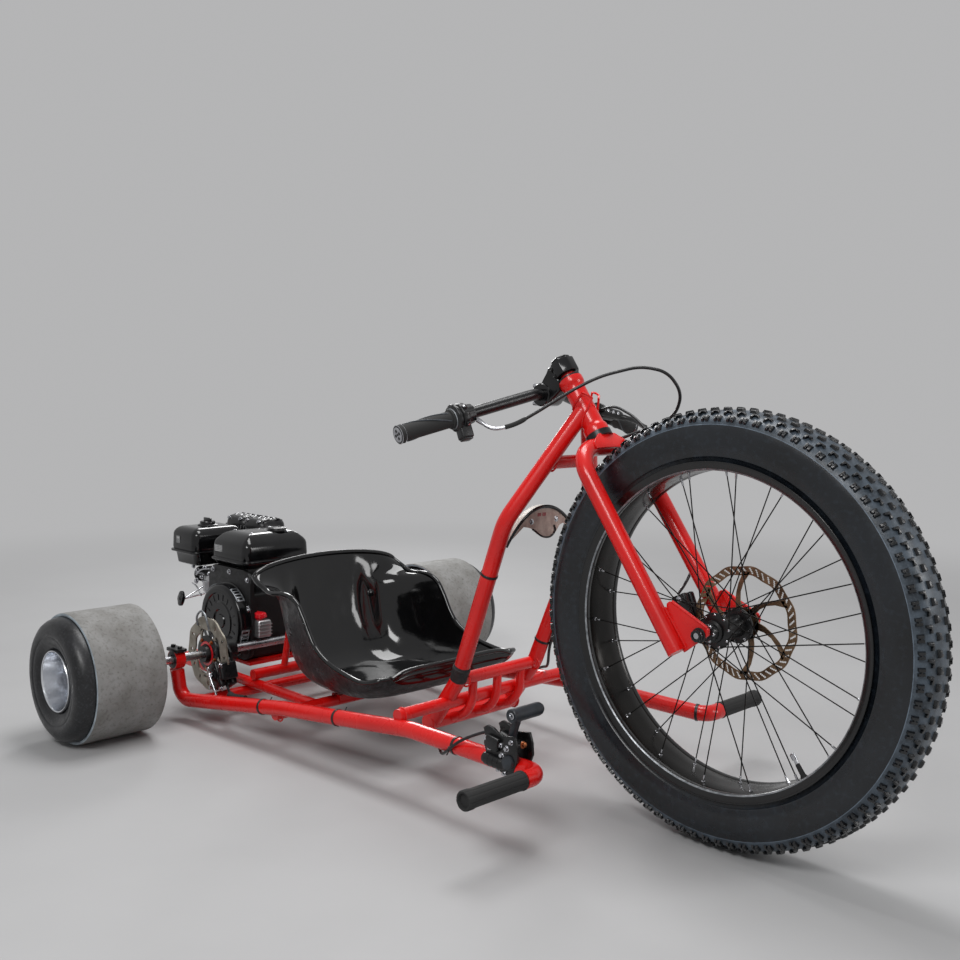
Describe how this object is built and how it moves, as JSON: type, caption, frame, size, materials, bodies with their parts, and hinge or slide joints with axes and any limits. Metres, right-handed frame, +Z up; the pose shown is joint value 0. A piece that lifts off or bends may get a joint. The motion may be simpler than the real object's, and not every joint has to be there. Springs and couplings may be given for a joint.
{
  "type": "motorized drift trike",
  "caption": "Low three-wheeled drift trike: spoked fat front wheel, bucket seat, sleeved rear wheels on a chain-driven live axle.",
  "frame": {"origin": "on the floor, at the middle of the bounding box", "axes": "+X forward, +Y to the rider's left, +Z up"},
  "size_m": [2.0226, 1.23, 0.8431],
  "materials": {
    "painted_red": "gloss red paint over welded steel tube",
    "black_metal": "satin black coating",
    "engine_black": "gloss black enamel",
    "cast_alloy": "cast alloy neck with a red cap",
    "black_plastic": "moulded black plastic",
    "grip_rubber": "ribbed black rubber",
    "front_tread": "dusty black rubber with small knobs",
    "kart_rubber": "black kart tyre rubber",
    "steel": "bright steel",
    "rim_alloy": "turned aluminium",
    "sleeve_plastic": "scuffed grey plastic sleeve",
    "seat_gloss": "gloss black glass-fibre shell, scuffed outside",
    "black_cable": "black outer casing"
  },
  "bodies": {
    "frame": {"head_tube": "painted_red", "down_tube_right": "painted_red", "down_tube_left": "painted_red", "down_tube_brace": "painted_red", "foot_guard": "painted_red", "foot_cross_tube": "painted_red", "rail_right": "painted_red", "rail_left": "painted_red", "front_cross_tube": "painted_red", "rear_cross_tube": "painted_red", "cradle": "painted_red", "seat_cross_tube": "painted_red", "seat_struts": "painted_red", "engine_plate": "painted_red", "headset": "black_metal", "axle_carriers": "black_metal", "rear_caliper": "black_metal", "brake_pedal": "black_metal", "muffler": "black_metal", "clutch": "black_metal", "engine_block": "engine_black", "recoil_housing": "engine_black", "fuel_tank": "engine_black", "carburettor": "engine_black", "oil_filler": "cast_alloy", "air_cleaner": "black_plastic", "front_plate": "black_plastic", "foot_pegs": "grip_rubber", "chain": "steel", "seat_shell": "seat_gloss", "throttle_line": "black_cable", "rear_brake_hose": "black_cable"},
    "steering": {"fork": "painted_red", "dropouts": "painted_red", "front_axle": "black_metal", "stem": "black_metal", "handlebar": "black_metal", "grips": "grip_rubber", "throttle_housing": "black_plastic", "brake_lever": "black_metal", "front_caliper": "black_metal", "throttle_cable": "black_cable", "front_brake_hose": "black_cable"},
    "front_wheel": {"front_tyre": "front_tread", "front_rim": "black_metal", "front_hub": "black_metal", "front_spokes": "steel", "front_rotor": "steel"},
    "rear_axle": {"axle_shaft": "steel", "kart_tyre_right": "kart_rubber", "kart_tyre_left": "kart_rubber", "sleeve_right": "sleeve_plastic", "sleeve_left": "sleeve_plastic", "kart_rim_right": "rim_alloy", "kart_rim_left": "rim_alloy", "rear_disc": "steel", "rear_sprocket": "steel"}
  },
  "joints": [
    {"name": "steering_turn", "type": "hinge", "parent": "frame", "child": "steering", "pos_m": [0.33277, 0, 0.71453], "axis": [-0.5736, 0, 0.8192], "range_deg": [-40, 28.5]},
    {"name": "front_wheel_spin", "type": "hinge", "parent": "steering", "child": "front_wheel", "pos_m": [0.6347, 0, 0.3766], "axis": [0, 1, 0], "continuous": true},
    {"name": "rear_axle_spin", "type": "hinge", "parent": "frame", "child": "rear_axle", "pos_m": [-0.6333, 0, 0.1425], "axis": [0, 1, 0], "continuous": true}
  ]
}
